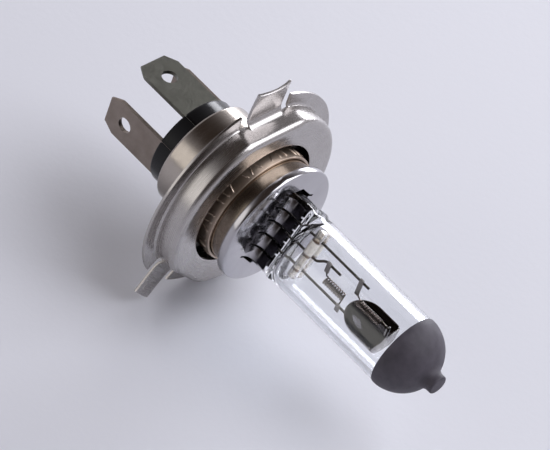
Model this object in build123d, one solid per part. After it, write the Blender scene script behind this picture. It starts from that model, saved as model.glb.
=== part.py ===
from build123d import *
import os
from math import acos, atan2, cos, radians, sin, sqrt, tan

# Twin-filament halogen headlight bulb with a three-lug prefocus cap.
# Frame: millimetres. X runs along the bulb axis towards the glass tip, Z points at the wide
# locating lug, and the origin is on the axis in the plane of the flange's front face.

ROUND_MID = 1 - sin(radians(45))    # the middle of a quarter round, from its corner, over its radius
CUT = 4.0                           # cutters reach at least this far past what they cut

# ---- prefocus ring: one stamping with flange, collar, front face and three lugs ----
FLANGE_D = 43.0             # outer diameter of the thin flange
SHEET = 0.5                 # stamping thickness
FLANGE_W = 2.6              # width of the flange outside the collar
COLLAR_D = FLANGE_D - 2 * FLANGE_W
COLLAR_H = 4.6              # front face of the collar, ahead of the flange
COLLAR_EDGE_R = 1.1         # rolled front edge of the collar
OPENING_GAP = 1.4           # gap round the neck in the front face's hole
OPENING_SHIFT = 0.8         # the hole is cut off centre, to leave room for aligning the burner
OPENING_SHIFT_ANGLE = -45.0
LUG_REACH = 4.1             # lugs reach this far past the flange
LUG_TIP_R = FLANGE_D / 2 + LUG_REACH
WIDE_LUG_W = 7.9
SMALL_LUG_W = 5.4
SMALL_LUG_ANGLE = 137.0     # small lugs, each side of the wide one
FLAT_DEPTH = 1.15           # the collar is pressed flat behind each lug, this deep
FLAT_CORNER_R = 1.5
LUG_BEND_R = 1.9            # bend from the flat into the lug, on its centre line
LUG_NOTCH = 2.0             # gap in the flange each side of a lug
LUG_LEAN = 0.35             # lug tips lean forward by this much
LUG_CORNER_R = 0.5

# ---- base shell: drawn cup with a wider neck in front ----
SHELL_D = 21.2
SHELL_T = 0.5
SHELL_BACK = -9.6           # rear edge
SHELL_LIP = 0.9             # rear edge curled inwards over the insulator, from the outside
SHELL_EDGE_R = 0.7          # outer round of the rear edge
NECK_FLARE = 1.2            # the neck's radius over the cup's
NECK_D = SHELL_D + 2 * NECK_FLARE
OPENING_D = NECK_D + 2 * OPENING_GAP
NECK_FRONT = 5.9
NECK_STEP = -1.6            # where the cup widens into the neck
NECK_STEP_L = 0.9

# ---- backing plate: joins collar and neck from inside ----
PLATE_T = 0.8
PLATE_BACK = 0.35

# ---- burner sleeve and its clamping cap ----
SLEEVE_CLEAR = 0.05         # between sleeve and neck
SLEEVE_T = 0.45
SLEEVE_GAP = 0.45           # the sleeve starts this far in front of the neck's cone
RIM_W = 0.4                 # the sleeve's front flange reaches this far past the neck
RIM_D = NECK_D + 2 * RIM_W
RIM_BACK = 9.0
RIM_T = 0.5
CAP_T = 0.45                # clamping cap, folded over that flange
CAP_FOLD_T = 0.2            # thinned where it is folded
CAP_D = RIM_D + 2 * CAP_FOLD_T
CAP_FRONT = 10.55
CAP_EDGE_R = 0.42
FINGER_N = 5                # spring fingers along each side of the pinch
FINGER_SLIT = 0.4
FINGER_END_CLEAR = 0.1      # fingers end this far short of the glass shoulder
FINGER_FLARE = 0.4          # their ends turn away from the glass
FINGER_FLARE_L = 1.2
FINGER_T = 0.3
FINGER_BEND_R = 1.8         # wide bend from the face to the glass
FINGER_ROOT = 0.5           # fingers run this far into the cap's front face
FINGER_ROW_INSET = 0.5      # the row of fingers ends this far inside the pinch's ends
SLIT_REACH = 0.9            # slits run this far past the bends into the face
CAP_LAND = 0.65             # the cap lies on this much of the sleeve's rim
SLOT_POINT = 1.0            # pointed ends of the slot reach past the pinch by this much
SLOT_SHOULDER = 0.4         # its straight sides end this far inside the pinch's ends

# ---- glass burner ----
GLASS_D = 14.6
GLASS_T = 1.0
DOME_X = 43.5               # centre of the dome
STUB_L = 1.8                # the sealed-off tip stands this far past the dome
TIP_X = DOME_X + GLASS_D / 2 + STUB_L
STUB_D = 3.6
STUB_FILLET = 1.7
STUB_END_R = 0.35
PINCH_ROLL = 27.0           # the flat pinch is turned from Z towards Y by this angle
PINCH_SPREAD = 0.2          # pressing spreads the glass by this, each side
PINCH_W = GLASS_D + 2 * PINCH_SPREAD
PINCH_T = 3.4
PINCH_EDGE_R = 1.2
PINCH_BACK = 1.2
PINCH_FRONT = 14.4
SHOULDER_X = 18.4           # full tube diameter from here on
CAVITY_X = 15.8             # rear end of the gas space, a flat slot here
CAVITY_SLOT_INSET = 2.7     # solid glass at each end of the slot
CAVITY_SLOT_W = PINCH_W - 2 * CAVITY_SLOT_INSET
CAVITY_SLOT_T = 1.2
CAVITY_SLOT_R = 0.54
CAVITY_FULL_X = 18.0        # gas space has its full diameter from here on
COATING_LAP = 0.5           # the black coating starts this far behind the dome's centre
COATING_X = DOME_X - COATING_LAP
COATING_T = 0.12

# ---- mount inside the glass ----
WIRE_D = 0.5
WIRE_PITCH = 3.15           # spacing of the three support wires
WIRE_SHIFT = 0.55           # the set of wires sits this far off centre along the pinch
WIRE_SEAL = 8.6             # wires start here, inside the pinch
LOW_WIRE_END = 31.8
HIGH_WIRE_END = 26.0
HIGH_WIRE_STEP = 1.3        # sideways step of the middle wire
HIGH_WIRE_STEP_L = 2.2
HIGH_WIRE_STEP_R = 1.2
HIGH_WIRE_CLEAR = 0.5       # the step starts this far in front of the rods
ROD_D = 1.8                 # two quartz rods fused across the wires
ROD_INSET = 2.1             # rods end this far inside the tube's outer diameter
ROD_L = GLASS_D - 2 * ROD_INSET
ROD_X = 19.0
ROD_END_R = 0.35
ROD_GROOVE = 0.12           # wires are bedded this deep in each rod
HIGH_X0 = 23.8              # high-beam coil
HIGH_L = 4.9
HIGH_Z = -1.05
HIGH_LEG_ANGLE = 21.0       # its rear leg leaves the coil here, from Z towards Y
LOW_X0 = 31.6               # low-beam coil
LOW_L = 5.8
LOW_Z = 0.75
COIL_D = 1.7
COIL_T = 0.34
LEG_D = 0.24
LEG_INSET = 0.25            # legs leave the coil this far inside its ends
TAB_T = 0.3
TAB_W = 0.9
TAB_PAST = 0.9              # tabs reach past the wire they are welded to
LOW_TAB_X = 30.1            # stations of the three tabs
HIGH_TAB_X = 23.3
COMMON_TAB_X = 29.2
HIGH_TAB_Z = 0.0            # lower end of the high-beam tab
COMMON_TAB_Z = -1.5         # upper end of the common tab
SHIELD_R = 3.6
SHIELD_T = 0.25
SHIELD_NOSE_X = 30.3
SHIELD_NOSE_L = 4.4
SHIELD_FRONT = 39.2
SHIELD_ROLL = -15.4         # open side turned from Z towards -Y
SHIELD_Z = -0.85
END_PLATE_T = 0.3
END_PLATE_H = 3.1           # above the bottom of the shield's mouth

# ---- seals and leads ----
FOIL_W = 2.2
FOIL_L = 5.6
FOIL_T = 0.08
FOIL_LAP = 0.8              # wires lie this far inside the foil's ends
LEAD_D = WIRE_D             # the same wire
LEAD_BEND_R = 1.0
LEAD_TURN_X = -0.6          # leads turn outwards here, and back in line here
LEAD_END_TURN_X = -4.6
LEAD_END_CLEAR = 0.15       # lead ends stop short of the insulator

# ---- insulator and blades ----
INS_LIP_CLEAR = 0.5         # between the insulator's boss and the shell's curled edge
INS_BOSS_D = SHELL_D - 2 * (SHELL_LIP + INS_LIP_CLEAR)
INS_BACK = -13.0
INS_EDGE_R = 0.5
INS_FLANGE_CLEAR = 0.1
INS_FRONT = -6.6
BLADE_W = 8.0
BLADE_T = 0.8
BLADE_END = -25.9
BLADE_CHAMFER_W = 1.2
BLADE_CHAMFER_L = 2.1
BLADE_HOLE_D = 3.0
BLADE_HOLE_X = 4.6          # hole centre from the blade's end
BLADE_COIN = 0.2            # coined edges all round the insertion end
BLADE_INSET = 1.3           # blades' centre planes, from the boss's edge
BLADE_OFF = INS_BOSS_D / 2 - BLADE_INSET
BLADE_TAIL = 1.8            # narrow tail clear of the insulator's inner face
BLADE_TAIL_W = 3.0


def turn(shape, angle):
    """Turn about the bulb axis, from Z towards Y."""
    return Rot(X=-angle) * shape


def lathe(points):
    """Solid of revolution about X from a closed outline of (x, radius)."""
    return revolve(Plane.XZ * make_face(Polyline(*points, close=True)), Axis.X)


def disc(radius, x0, x1):
    return Pos(X=(x0 + x1) / 2) * Rot(Y=90) * Cylinder(radius, x1 - x0)


def bar(p, q, diameter):
    """Round bar between two points."""
    line = Line(p, q)
    return sweep(Plane(origin=line @ 0, z_dir=line % 0) * Circle(diameter / 2), path=line)


def bent_bar(points, bend, diameter):
    path = FilletPolyline(*points, radius=bend)
    return sweep(Plane(origin=path @ 0, z_dir=path % 0) * Circle(diameter / 2), path=path)


def polar(angle, radius):
    """Y and Z of a point seen along the axis, angle from Z towards Y."""
    return radius * sin(radians(angle)), radius * cos(radians(angle))


# ---------------- prefocus ring ----------------
LUGS = ((0.0, WIDE_LUG_W), (SMALL_LUG_ANGLE, SMALL_LUG_W), (-SMALL_LUG_ANGLE, SMALL_LUG_W))


def flat_distance(width):
    """Distance of a lug's flat from the axis; a narrow lug has a shallower flat."""
    return COLLAR_D / 2 - FLAT_DEPTH * (width / WIDE_LUG_W) ** 0.5


def collar_block(inset, x1):
    """The collar's filled outline with its three flats, shrunk by inset, up to x1."""
    radius = COLLAR_D / 2 - inset
    face = Circle(radius)
    for angle, width in LUGS:
        d = flat_distance(width) - inset
        y, z = polar(angle, d + radius)
        # sketch X is the part's Y, sketch Y is the part's Z
        face -= Pos(y, z) * Rot(Z=-angle) * Rectangle(2 * radius, 2 * radius)
    face = fillet(face.vertices(), FLAT_CORNER_R)
    plane = Plane(origin=(0, 0, 0), x_dir=(0, 1, 0), z_dir=(1, 0, 0))
    block = extrude(plane * face, amount=x1)
    front = block.faces().sort_by(Axis.X)[-1]
    return fillet(front.edges(), COLLAR_EDGE_R - inset)


def lug(width):
    """One lug, standing on the flat at +Z: a bend forward into the collar and a leaning tongue."""
    d = flat_distance(width)
    r_in, r_out = LUG_BEND_R - SHEET / 2, LUG_BEND_R + SHEET / 2
    cx, cz = r_in, d - SHEET / 2 + LUG_BEND_R
    tip_z = LUG_TIP_R
    # the tongue starts in the plane of the flange, from xb to xf
    xf, xb = 0.0, -SHEET
    outline = [
        Line((cx, cz - r_out), (cx, cz - r_in)),
        RadiusArc((cx, cz - r_in), (xf, cz), r_in),
        Line((xf, cz), (xf + LUG_LEAN, tip_z)),
        Line((xf + LUG_LEAN, tip_z), (xb + LUG_LEAN, tip_z)),
        Line((xb + LUG_LEAN, tip_z), (xb, cz)),
        RadiusArc((xb, cz), (cx, cz - r_out), -r_out),
    ]
    body = extrude(Plane.XZ * make_face(outline), amount=width / 2, both=True)
    corners = body.edges().filter_by(Axis.X).filter_by(lambda e: e.center().Z > cz + LUG_CORNER_R)
    return fillet(corners, LUG_CORNER_R)


def prefocus_ring():
    flange = disc(FLANGE_D / 2, -SHEET, 0)
    for angle, width in LUGS:
        d = flat_distance(width)
        gap = Pos(-SHEET / 2, 0, d + FLANGE_D / 2) * Box(2 * CUT, width + 2 * LUG_NOTCH, FLANGE_D)
        flange -= turn(gap, angle)
    body = flange + collar_block(0, COLLAR_H)
    body -= Pos(X=-SHEET) * collar_block(SHEET, COLLAR_H)
    y, z = polar(OPENING_SHIFT_ANGLE, OPENING_SHIFT)
    body -= Pos(0, y, z) * disc(OPENING_D / 2, 0, COLLAR_H + CUT)
    for angle, width in LUGS:
        body += turn(lug(width), angle)
    return body


# ---------------- base ----------------
def base_shell():
    r, n, t, e = SHELL_D / 2, NECK_D / 2, SHELL_T, SHELL_EDGE_R
    back, step = SHELL_BACK, NECK_STEP
    wide = step + NECK_STEP_L
    lip = r - SHELL_LIP
    mid = ROUND_MID * e
    miter = t * tan(atan2(n - r, NECK_STEP_L) / 2)
    # rounded rear edge as two chords, then the cylinder, the cone and the neck
    return lathe([
        (back, lip), (back, r - e), (back + mid, r - mid), (back + e, r),
        (step, r), (wide, n), (NECK_FRONT, n), (NECK_FRONT, n - t),
        (wide + miter, n - t), (step + miter, r - t), (back + t, r - t), (back + t, lip),
    ])


def backing_plate():
    plate = collar_block(SHEET, COLLAR_H) & disc(COLLAR_D, PLATE_BACK, PLATE_BACK + PLATE_T)
    return plate - disc(NECK_D / 2, -CUT, COLLAR_H)


def burner_sleeve():
    r = NECK_D / 2 - SHELL_T - SLEEVE_CLEAR
    back, front = NECK_STEP + NECK_STEP_L + SLEEVE_GAP, RIM_BACK + RIM_T
    return lathe([
        (back, r - SLEEVE_T), (back, r), (RIM_BACK, r), (RIM_BACK, RIM_D / 2),
        (front, RIM_D / 2), (front, r - SLEEVE_T),
    ])


# ---------------- glass ----------------
def dome_outline(offset):
    """Outer outline of dome and tip from x = DOME_X, as edges, grown by offset."""
    big = GLASS_D / 2 + offset
    stub = STUB_D / 2 + offset
    f = STUB_FILLET - offset
    fx = DOME_X + sqrt((big + f) ** 2 - (stub + f) ** 2)
    k = big / (big + f)
    touch = (DOME_X + (fx - DOME_X) * k, (stub + f) * k)
    a = acos(touch[1] / big) / 2
    mid = (DOME_X + big * sin(a), big * cos(a))
    b = acos((stub + f - touch[1]) / f)
    fmid = (fx - f * sin(b / 2), stub + f - f * cos(b / 2))
    end = TIP_X + offset
    return [
        ThreePointArc((DOME_X, big), mid, touch),
        ThreePointArc(touch, fmid, (fx, stub)),
        Line((fx, stub), (end - STUB_END_R, stub)),
        ThreePointArc((end - STUB_END_R, stub), (end - STUB_END_R * ROUND_MID, stub - STUB_END_R * ROUND_MID),
                      (end, stub - STUB_END_R)),
        Line((end, stub - STUB_END_R), (end, 0)),
    ]


def tube_outline(offset, x0):
    big = GLASS_D / 2 + offset
    face = make_face([Line((x0, 0), (x0, big)), Line((x0, big), (DOME_X, big))] + dome_outline(offset)
                     + [Line((TIP_X + offset, 0), (x0, 0))])
    return revolve(Plane.XZ * face, Axis.X)


def gas_space():
    """The hollow of the tube: a slot at the pinch that opens to the full bore, and a round front end."""
    r = GLASS_D / 2 - GLASS_T
    slot = RectangleRounded(CAVITY_SLOT_T, CAVITY_SLOT_W, CAVITY_SLOT_R)
    rear = loft([pinch_plane(CAVITY_X) * slot, pinch_plane(CAVITY_FULL_X) * Circle(r)])
    end = DOME_X + r
    face = make_face([
        Line((CAVITY_FULL_X, 0), (CAVITY_FULL_X, r)), Line((CAVITY_FULL_X, r), (DOME_X, r)),
        ThreePointArc((DOME_X, r), (DOME_X + r * sin(radians(45)), r * cos(radians(45))), (end, 0)),
        Line((end, 0), (CAVITY_FULL_X, 0)),
    ])
    return rear + revolve(Plane.XZ * face, Axis.X)


def pinch_plane(x):
    """Section plane whose second axis lies along the wide side of the pinch."""
    across = (0, cos(radians(PINCH_ROLL)), -sin(radians(PINCH_ROLL)))
    return Plane(origin=(x, 0, 0), x_dir=across, z_dir=(1, 0, 0))


def glass_bulb(inside):
    pinch_face = RectangleRounded(PINCH_T, PINCH_W, PINCH_EDGE_R)
    pinch = extrude(pinch_plane(PINCH_BACK) * pinch_face, amount=PINCH_FRONT - PINCH_BACK)
    shoulder = loft([pinch_plane(PINCH_FRONT) * pinch_face, pinch_plane(SHOULDER_X) * Circle(GLASS_D / 2)])
    body = pinch + shoulder + tube_outline(0, SHOULDER_X) - gas_space()
    for piece in inside:
        body -= piece
    return body


def tip_coating():
    return tube_outline(COATING_T, COATING_X) - tube_outline(0, COATING_X - CUT)


# ---------------- clamping cap ----------------
def along_pinch(u, v, x):
    """Point at u along the pinch's wide side and v across it."""
    c, s = cos(radians(PINCH_ROLL)), sin(radians(PINCH_ROLL))
    return (x, u * s + v * c, u * c - v * s)


def clamping_cap():
    r = CAP_D / 2
    back = RIM_BACK + RIM_T
    mid = ROUND_MID * CAP_EDGE_R
    cap = lathe([
        (back, 0), (back, RIM_D / 2), (RIM_BACK, RIM_D / 2), (RIM_BACK, r), (CAP_FRONT - CAP_EDGE_R, r),
        (CAP_FRONT - mid, r - mid), (CAP_FRONT, r - CAP_EDGE_R), (CAP_FRONT, 0),
    ])
    cap -= disc(r - CAP_LAND, back - CUT, CAP_FRONT - CAP_T)
    side, end = PINCH_T / 2 + FINGER_T + FINGER_BEND_R, PINCH_W / 2 - SLOT_SHOULDER
    point = PINCH_W / 2 + SLOT_POINT
    outline = [(0, point), (side, end), (side, -end), (0, -point), (-side, -end), (-side, end)]
    cap -= extrude(pinch_plane(back) * make_face(Polyline(*outline, close=True)), amount=CUT)
    row = PINCH_W - 2 * FINGER_ROW_INSET
    pitch = row / FINGER_N
    for i in range(FINGER_N + 1):
        u = -row / 2 + i * pitch
        for way in (-1, 1):
            slit = Pos(way * (side + SLIT_REACH / 2), u) * Rectangle(SLIT_REACH, FINGER_SLIT)
            cap -= extrude(pinch_plane(back) * slit, amount=CUT)
    for i in range(FINGER_N):
        u = -row / 2 + (i + 0.5) * pitch
        for way in (-1, 1):
            cap += finger(u, way, pitch - FINGER_SLIT)
    return cap


def finger(u, side, width):
    """Spring finger that leaves the cap's face in a wide bend, turns forward and lies on the pinch."""
    glass, outer, r0 = PINCH_T / 2, PINCH_T / 2 + FINGER_T, FINGER_BEND_R
    top = PINCH_FRONT - FINGER_END_CLEAR
    flare = top - FINGER_FLARE_L

    # outline as (distance across the pinch, x)
    def on_bend(r, angle):
        return (outer + r0 - r * sin(radians(angle)), CAP_FRONT + r0 - r * cos(radians(angle)))

    inner = [on_bend(r0 + FINGER_T, angle) for angle in (0, 45, 90)]
    skin = [on_bend(r0, angle) for angle in (90, 45, 0)]
    root = outer + r0 + FINGER_ROOT
    tip = Polyline(inner[2], (glass, flare), (glass + FINGER_FLARE, top), (outer + FINGER_FLARE, top),
                   (outer, flare), skin[0])
    foot = Polyline(skin[2], (root, CAP_FRONT), (root, CAP_FRONT - FINGER_T), inner[0])
    outline = [ThreePointArc(*inner), *tip.edges(), ThreePointArc(*skin), *foot.edges()]
    across = (0, side * cos(radians(PINCH_ROLL)), -side * sin(radians(PINCH_ROLL)))
    normal = (0, -side * sin(radians(PINCH_ROLL)), -side * cos(radians(PINCH_ROLL)))
    plane = Plane(origin=along_pinch(u, 0, 0), x_dir=across, z_dir=normal)
    return extrude(plane * make_face(outline), amount=width / 2, both=True)


# ---------------- mount ----------------
def wire_u(slot):
    """Place of a wire along the pinch's wide side: slot -1, 0 or 1."""
    return WIRE_SHIFT + slot * WIRE_PITCH


def wire_point(slot, x, step=0.0):
    return along_pinch(wire_u(slot) + step, 0, x)


def straight_wire(slot, end):
    return bar(wire_point(slot, WIRE_SEAL), wire_point(slot, end), WIRE_D)


def common_wire():
    """Straight wire whose end is shaped to the nose of the shield, where it is welded."""
    y, z = wire_point(-1, 0)[1:]
    off = sqrt(y * y + (z - SHIELD_Z) ** 2) / SHIELD_R
    end = SHIELD_NOSE_X + SHIELD_NOSE_L * (1 - sqrt(1 - off * off)) + SHIELD_T / 2
    return straight_wire(-1, end) - shield()


def stepped_wire():
    x0 = ROD_X + ROD_D / 2 + HIGH_WIRE_CLEAR
    x1 = x0 + HIGH_WIRE_STEP_L
    points = [wire_point(0, WIRE_SEAL), wire_point(0, x0), wire_point(0, x1, HIGH_WIRE_STEP),
              wire_point(0, HIGH_WIRE_END, HIGH_WIRE_STEP)]
    return bent_bar(points, HIGH_WIRE_STEP_R, WIRE_D)


def bridge_rod(side, wires):
    offset = ROD_D / 2 + WIRE_D / 2 - ROD_GROOVE
    p = along_pinch(WIRE_SHIFT - ROD_L / 2, side * offset, ROD_X)
    q = along_pinch(WIRE_SHIFT + ROD_L / 2, side * offset, ROD_X)
    rod = fillet(bar(p, q, ROD_D).edges().filter_by(GeomType.CIRCLE), ROD_END_R)
    for wire in wires:
        rod -= wire
    return rod


def coil(x0, length, z, legs, held_by):
    """Envelope of a wound coil with a straight leg at each end, cut to lie on what holds it."""
    ring = Cylinder(COIL_D / 2, length) - Cylinder(COIL_D / 2 - COIL_T, length + CUT)
    body = Pos(x0 + length / 2, 0, z) * Rot(Y=90) * ring
    for start, end in legs:
        body += bar(start, end, LEG_D)
    for piece in held_by:
        body -= piece
    return body.solids().sort_by(SortBy.VOLUME)[-1]


def tab(slot, step, x, z_far):
    """Flat strip welded to the front of a wire, upright, from just past the wire to z_far."""
    p = wire_point(slot, x, step)
    past = TAB_PAST if z_far < p[2] else -TAB_PAST
    z0, z1 = sorted((p[2] + past, z_far))
    y = p[1] - WIRE_D / 2 - TAB_T / 2
    return Pos(x, y, (z0 + z1) / 2) * Box(TAB_W, TAB_T, z1 - z0)


def tab_middle(slot, step):
    return wire_point(slot, 0, step)[1] - WIRE_D / 2 - TAB_T / 2


def shield():
    """Half shell with a rounded rear end, open upwards."""
    r, t, x0, nose = SHIELD_R, SHIELD_T, SHIELD_NOSE_X, SHIELD_NOSE_L
    mid, high = ROUND_MID, 1 - ROUND_MID
    outer = ThreePointArc((x0, 0), (x0 + nose * mid, r * high), (x0 + nose, r))
    inner = ThreePointArc((x0 + t, 0), (x0 + t + (nose - t) * mid, (r - t) * high), (x0 + nose, r - t))
    face = make_face([outer, Line((x0 + nose, r), (SHIELD_FRONT, r)),
                      Line((SHIELD_FRONT, r), (SHIELD_FRONT, r - t)),
                      Line((SHIELD_FRONT, r - t), (x0 + nose, r - t)),
                      inner, Line((x0 + t, 0), (x0, 0))])
    half = revolve(Plane.XY * face, Axis.X, revolution_arc=-180)
    return Pos(Z=SHIELD_Z) * turn(half, SHIELD_ROLL)


def end_plate():
    """Plate across the mouth of the shield, with a narrow post up to the coil's front leg."""
    r = SHIELD_R
    face = Circle(r) & (Pos(0, -r + END_PLATE_H / 2) * Rectangle(2 * r, END_PLATE_H))
    plane = Plane(origin=(SHIELD_FRONT, 0, 0), x_dir=(0, 1, 0), z_dir=(1, 0, 0))
    plate = Pos(Z=SHIELD_Z) * turn(extrude(plane * face, amount=END_PLATE_T), SHIELD_ROLL)
    z0, z1 = SHIELD_Z - r / 2, LOW_Z + COIL_D / 2
    post = Pos(SHIELD_FRONT + END_PLATE_T / 2, 0, (z0 + z1) / 2) * Box(END_PLATE_T, TAB_W, z1 - z0)
    return plate + post


def low_filament(tab_piece, plate):
    edge = COIL_D / 2 - COIL_T / 2
    rear = ((LOW_X0 + LEG_INSET, edge, LOW_Z), (LOW_TAB_X, tab_middle(1, 0), LOW_Z))
    front = ((LOW_X0 + LOW_L - LEG_INSET, 0, LOW_Z + edge), (SHIELD_FRONT + END_PLATE_T / 2, 0, LOW_Z + edge))
    return coil(LOW_X0, LOW_L, LOW_Z, (rear, front), (tab_piece, plate))


def high_filament(tab_rear, tab_front):
    edge = COIL_D / 2 - COIL_T / 2
    y, z = polar(HIGH_LEG_ANGLE, edge)
    rear = ((HIGH_X0 + LEG_INSET, y, HIGH_Z + z),
            (HIGH_TAB_X, tab_middle(0, HIGH_WIRE_STEP), HIGH_TAB_Z + LEG_D))
    front = ((HIGH_X0 + HIGH_L - LEG_INSET, -edge, HIGH_Z),
             (COMMON_TAB_X, tab_middle(-1, 0), COMMON_TAB_Z - LEG_D))
    return coil(HIGH_X0, HIGH_L, HIGH_Z, (rear, front), (tab_rear, tab_front))


# ---------------- seals and leads ----------------
def foil(slot):
    x0 = WIRE_SEAL + FOIL_LAP - FOIL_L
    strip = Pos((WIRE_D + FOIL_T) / 2, wire_u(slot)) * Rectangle(FOIL_T, FOIL_W)
    return extrude(pinch_plane(x0) * strip, amount=FOIL_L)


def lead(slot, target):
    """Outer lead, from its foil to the tail of a blade; target is its y and z there."""
    start = wire_point(slot, WIRE_SEAL + 2 * FOIL_LAP - FOIL_L)
    y, z = target
    points = [start, wire_point(slot, LEAD_TURN_X), (LEAD_END_TURN_X, y, z),
              (INS_FRONT + LEAD_END_CLEAR, y, z)]
    return bent_bar(points, LEAD_BEND_R, LEAD_D)


# ---------------- rear of the cap ----------------
def blade():
    """Blade lying in the XY plane of its own frame, Z through its thickness."""
    w, e = BLADE_W / 2, BLADE_END
    inner = INS_FRONT + BLADE_TAIL
    tail = BLADE_TAIL_W / 2
    face = make_face(Polyline(
        (e, -w + BLADE_CHAMFER_W), (e + BLADE_CHAMFER_L, -w), (INS_FRONT, -w), (INS_FRONT, -tail),
        (inner, -tail), (inner, tail), (INS_FRONT, tail), (INS_FRONT, w), (e + BLADE_CHAMFER_L, w),
        (e, w - BLADE_CHAMFER_W), close=True))
    face -= Pos(e + BLADE_HOLE_X, 0) * Circle(BLADE_HOLE_D / 2)
    body = extrude(face, amount=BLADE_T / 2, both=True)
    rim = body.edges().filter_by(
        lambda g: g.center().X < e + BLADE_CHAMFER_L and abs(g.center().Z) > BLADE_T / 4
        and g.geom_type == GeomType.LINE)
    return chamfer(rim, BLADE_COIN)


def top_blade():
    return Pos(Z=BLADE_OFF) * blade()


def side_blade(side):
    return Pos(Y=side * BLADE_OFF) * Rot(X=90) * blade()


def insulator(blades):
    r_in = SHELL_D / 2 - SHELL_T - INS_FLANGE_CLEAR
    boss = INS_BOSS_D / 2
    mid = ROUND_MID * INS_EDGE_R
    body = lathe([
        (INS_BACK, 0), (INS_BACK, boss - INS_EDGE_R), (INS_BACK + mid, boss - mid),
        (INS_BACK + INS_EDGE_R, boss), (SHELL_BACK + SHELL_T, boss), (SHELL_BACK + SHELL_T, r_in),
        (INS_FRONT, r_in), (INS_FRONT, 0),
    ])
    for piece in blades:
        body -= piece
    return body


def main():
    os.makedirs("parts", exist_ok=True)
    parts = {
        "prefocus_ring": prefocus_ring(),
        "base_shell": base_shell(),
        "backing_plate": backing_plate(),
        "burner_sleeve": burner_sleeve(),
        "clamping_cap": clamping_cap(),
        "tip_coating": tip_coating(),
        "low_beam_shield": shield(),
        "shield_end_plate": end_plate(),
        "blade_top": top_blade(),
        "blade_left": side_blade(1),
        "blade_right": side_blade(-1),
        "support_wire_low": straight_wire(1, LOW_WIRE_END),
        "support_wire_high": stepped_wire(),
        "support_wire_common": common_wire(),
        "tab_low": tab(1, 0, LOW_TAB_X, LOW_Z - TAB_T),
        "tab_high": tab(0, HIGH_WIRE_STEP, HIGH_TAB_X, HIGH_TAB_Z),
        "tab_common": tab(-1, 0, COMMON_TAB_X, COMMON_TAB_Z),
    }
    parts["low_beam_filament"] = low_filament(parts["tab_low"], parts["shield_end_plate"])
    parts["high_beam_filament"] = high_filament(parts["tab_high"], parts["tab_common"])
    wires = [parts["support_wire_low"], parts["support_wire_high"], parts["support_wire_common"]]
    parts["bridge_rod_front"] = bridge_rod(-1, wires)
    parts["bridge_rod_rear"] = bridge_rod(1, wires)
    sealed = list(wires)
    reach = BLADE_OFF - BLADE_T / 2 - LEAD_D / 2
    for name, slot, target in (("low", 1, (0, reach)), ("high", 0, (reach, 0)), ("common", -1, (-reach, 0))):
        parts["foil_" + name] = foil(slot)
        parts["lead_" + name] = lead(slot, target)
        sealed += [parts["foil_" + name], parts["lead_" + name]]
    parts["insulator"] = insulator([parts["blade_top"], parts["blade_left"], parts["blade_right"]])
    parts["glass_bulb"] = glass_bulb(sealed)
    for name, shape in parts.items():
        export_step(shape, "parts/" + name + ".step")


main()
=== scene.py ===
"""Twin-filament headlight bulb: the looks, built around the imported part.

X runs along the bulb axis towards the glass tip and Z points at the wide locating lug. Shapes are
worked out in millimetres and put into their meshes in metres. Round the axis, angles are counted
from Z towards Y, as in (y, z) = radius * (sin a, cos a).
"""

import bpy
import numpy as np
from mathutils import Matrix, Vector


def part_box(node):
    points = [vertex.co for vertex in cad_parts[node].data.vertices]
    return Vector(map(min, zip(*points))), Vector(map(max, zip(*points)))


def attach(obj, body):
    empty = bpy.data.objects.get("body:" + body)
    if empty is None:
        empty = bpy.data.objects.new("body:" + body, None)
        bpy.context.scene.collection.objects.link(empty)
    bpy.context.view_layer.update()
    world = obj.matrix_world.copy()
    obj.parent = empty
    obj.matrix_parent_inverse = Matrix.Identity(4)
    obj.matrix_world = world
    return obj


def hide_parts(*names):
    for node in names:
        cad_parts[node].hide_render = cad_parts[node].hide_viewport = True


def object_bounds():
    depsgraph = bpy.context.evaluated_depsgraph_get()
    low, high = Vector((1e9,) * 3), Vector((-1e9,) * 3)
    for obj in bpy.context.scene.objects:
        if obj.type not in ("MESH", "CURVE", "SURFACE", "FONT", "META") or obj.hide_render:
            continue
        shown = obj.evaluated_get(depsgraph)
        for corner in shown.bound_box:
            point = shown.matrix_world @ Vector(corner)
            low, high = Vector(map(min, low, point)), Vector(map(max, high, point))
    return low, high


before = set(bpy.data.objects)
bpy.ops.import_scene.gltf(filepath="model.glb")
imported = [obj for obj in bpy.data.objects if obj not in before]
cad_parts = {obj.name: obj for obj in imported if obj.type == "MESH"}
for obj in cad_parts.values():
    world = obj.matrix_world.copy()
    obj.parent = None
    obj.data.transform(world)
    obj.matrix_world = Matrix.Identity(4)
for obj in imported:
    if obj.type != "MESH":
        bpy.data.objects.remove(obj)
cad_box = [list(corner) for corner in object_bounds()]


# ----------------------------------------------------------
# Prefocus ring. One stamping of thin nickel-plated steel: a flat flange, a collar drawn up from
# it with a rounded front edge, a holed front face, and three lugs bent out of the collar's foot.
# The collar is pressed flat behind each lug, and the flange is notched either side of it.
# ----------------------------------------------------------
MM = 0.001
SAME_POINT = 1e-7


def modify(piece, kind, **settings):
    """Adds one modifier with its settings."""
    step = piece.modifiers.new(kind.lower(), kind)
    for key, value in settings.items():
        setattr(step, key, value)


def to_mesh(name, points, faces):
    """Mesh object from points in mm and quads. Its weld modifier merges corners that fall together."""
    mesh = bpy.data.meshes.new(name)
    mesh.from_pydata((np.asarray(points) * MM).tolist(), [], np.asarray(faces).tolist())
    mesh.validate()
    piece = bpy.data.objects.new(name, mesh)
    bpy.context.scene.collection.objects.link(piece)
    modify(piece, "WELD", merge_threshold=SAME_POINT)
    return piece


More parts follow.
